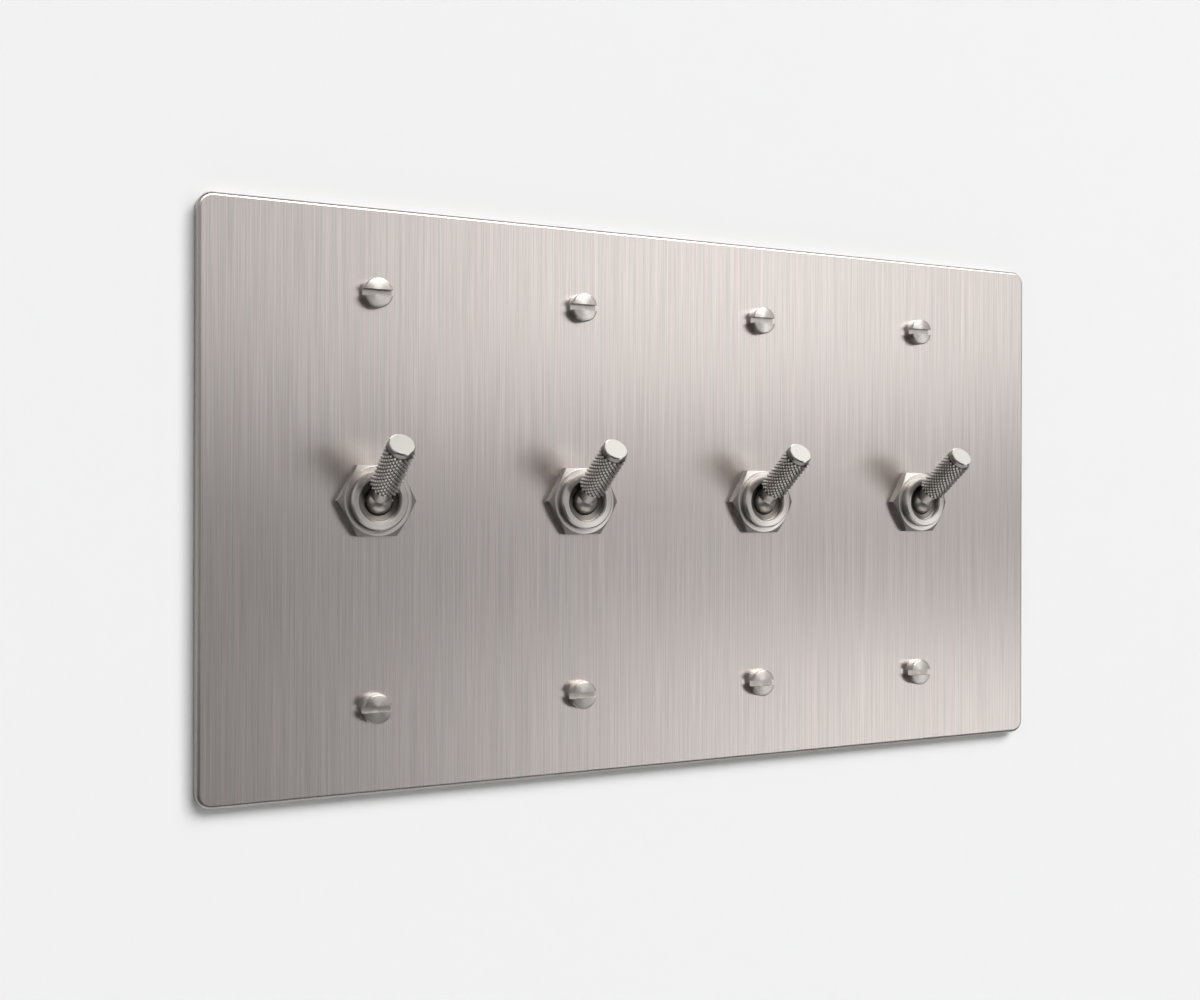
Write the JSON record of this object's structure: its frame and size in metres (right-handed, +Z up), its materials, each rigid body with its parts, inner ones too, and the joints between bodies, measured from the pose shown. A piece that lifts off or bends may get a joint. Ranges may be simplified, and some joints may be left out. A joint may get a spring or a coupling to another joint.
{
  "type": "four-gang toggle switch plate",
  "caption": "Brushed steel wall plate carrying knurled toggle switches clamped by hex nuts, with slotted screws for a multi-gang wall box.",
  "frame": {"origin": "middle of the plate's back, on the wall", "axes": "-Y out of the wall towards the user, +X to the right seen from the front, +Z up"},
  "size_m": [0.2082, 0.0485, 0.118],
  "materials": {
    "brushed_plate": "vertical brushed grain, satin",
    "turned_fittings": "fine turned satin",
    "plated_frame": "zinc plated sheet, dull",
    "dark_moulding": "moulded phenolic, matte",
    "brass_contacts": "stamped brass, satin",
    "spring_steel": "drawn wire, satin"
  },
  "bodies": {
    "plate_body": {"face_plate": "brushed_plate", "mounting_screws": "turned_fittings", "lock_washers": "plated_frame", "hex_nut_1": "turned_fittings", "bushing_1": "turned_fittings", "pivot_pin_1": "spring_steel", "switch_frame_1": "plated_frame", "switch_body_1": "dark_moulding", "terminals_1": "brass_contacts", "terminal_screws_1": "brass_contacts", "hex_nut_2": "turned_fittings", "bushing_2": "turned_fittings", "pivot_pin_2": "spring_steel", "switch_frame_2": "plated_frame", "switch_body_2": "dark_moulding", "terminals_2": "brass_contacts", "terminal_screws_2": "brass_contacts", "hex_nut_3": "turned_fittings", "bushing_3": "turned_fittings", "pivot_pin_3": "spring_steel", "switch_frame_3": "plated_frame", "switch_body_3": "dark_moulding", "terminals_3": "brass_contacts", "terminal_screws_3": "brass_contacts", "hex_nut_4": "turned_fittings", "bushing_4": "turned_fittings", "pivot_pin_4": "spring_steel", "switch_frame_4": "plated_frame", "switch_body_4": "dark_moulding", "terminals_4": "brass_contacts", "terminal_screws_4": "brass_contacts"},
    "lever_1": {"toggle_lever_1": "turned_fittings", "knurled_grip_1": "turned_fittings", "plunger_1": "brass_contacts", "plunger_spring_1": "spring_steel"},
    "rocker_1": {"rocker_contact_1": "brass_contacts"},
    "lever_2": {"toggle_lever_2": "turned_fittings", "knurled_grip_2": "turned_fittings", "plunger_2": "brass_contacts", "plunger_spring_2": "spring_steel"},
    "rocker_2": {"rocker_contact_2": "brass_contacts"},
    "lever_3": {"toggle_lever_3": "turned_fittings", "knurled_grip_3": "turned_fittings", "plunger_3": "brass_contacts", "plunger_spring_3": "spring_steel"},
    "rocker_3": {"rocker_contact_3": "brass_contacts"},
    "lever_4": {"toggle_lever_4": "turned_fittings", "knurled_grip_4": "turned_fittings", "plunger_4": "brass_contacts", "plunger_spring_4": "spring_steel"},
    "rocker_4": {"rocker_contact_4": "brass_contacts"}
  },
  "joints": [
    {"name": "lever_1_throw", "type": "hinge", "parent": "plate_body", "child": "lever_1", "pos_m": [-0.06906, -0.0049, 0], "axis": [1, 0, 0], "range_deg": [0, 73]},
    {"name": "rocker_1_tilt", "type": "hinge", "parent": "plate_body", "child": "rocker_1", "pos_m": [-0.06906, 0.0088, 0], "axis": [1, 0, 0], "range_deg": [-20, 0]},
    {"name": "lever_2_throw", "type": "hinge", "parent": "plate_body", "child": "lever_2", "pos_m": [-0.02302, -0.0049, 0], "axis": [1, 0, 0], "range_deg": [0, 73]},
    {"name": "rocker_2_tilt", "type": "hinge", "parent": "plate_body", "child": "rocker_2", "pos_m": [-0.02302, 0.0088, 0], "axis": [1, 0, 0], "range_deg": [-20, 0]},
    {"name": "lever_3_throw", "type": "hinge", "parent": "plate_body", "child": "lever_3", "pos_m": [0.02302, -0.0049, 0], "axis": [1, 0, 0], "range_deg": [0, 73]},
    {"name": "rocker_3_tilt", "type": "hinge", "parent": "plate_body", "child": "rocker_3", "pos_m": [0.02302, 0.0088, 0], "axis": [1, 0, 0], "range_deg": [-20, 0]},
    {"name": "lever_4_throw", "type": "hinge", "parent": "plate_body", "child": "lever_4", "pos_m": [0.06906, -0.0049, 0], "axis": [1, 0, 0], "range_deg": [0, 73]},
    {"name": "rocker_4_tilt", "type": "hinge", "parent": "plate_body", "child": "rocker_4", "pos_m": [0.06906, 0.0088, 0], "axis": [1, 0, 0], "range_deg": [-20, 0]}
  ],
  "couplings": [
    {"joint": "rocker_1_tilt", "follows": "lever_1_throw", "ratio": -0.2739},
    {"joint": "rocker_2_tilt", "follows": "lever_2_throw", "ratio": -0.2739},
    {"joint": "rocker_3_tilt", "follows": "lever_3_throw", "ratio": -0.2739},
    {"joint": "rocker_4_tilt", "follows": "lever_4_throw", "ratio": -0.2739}
  ]
}
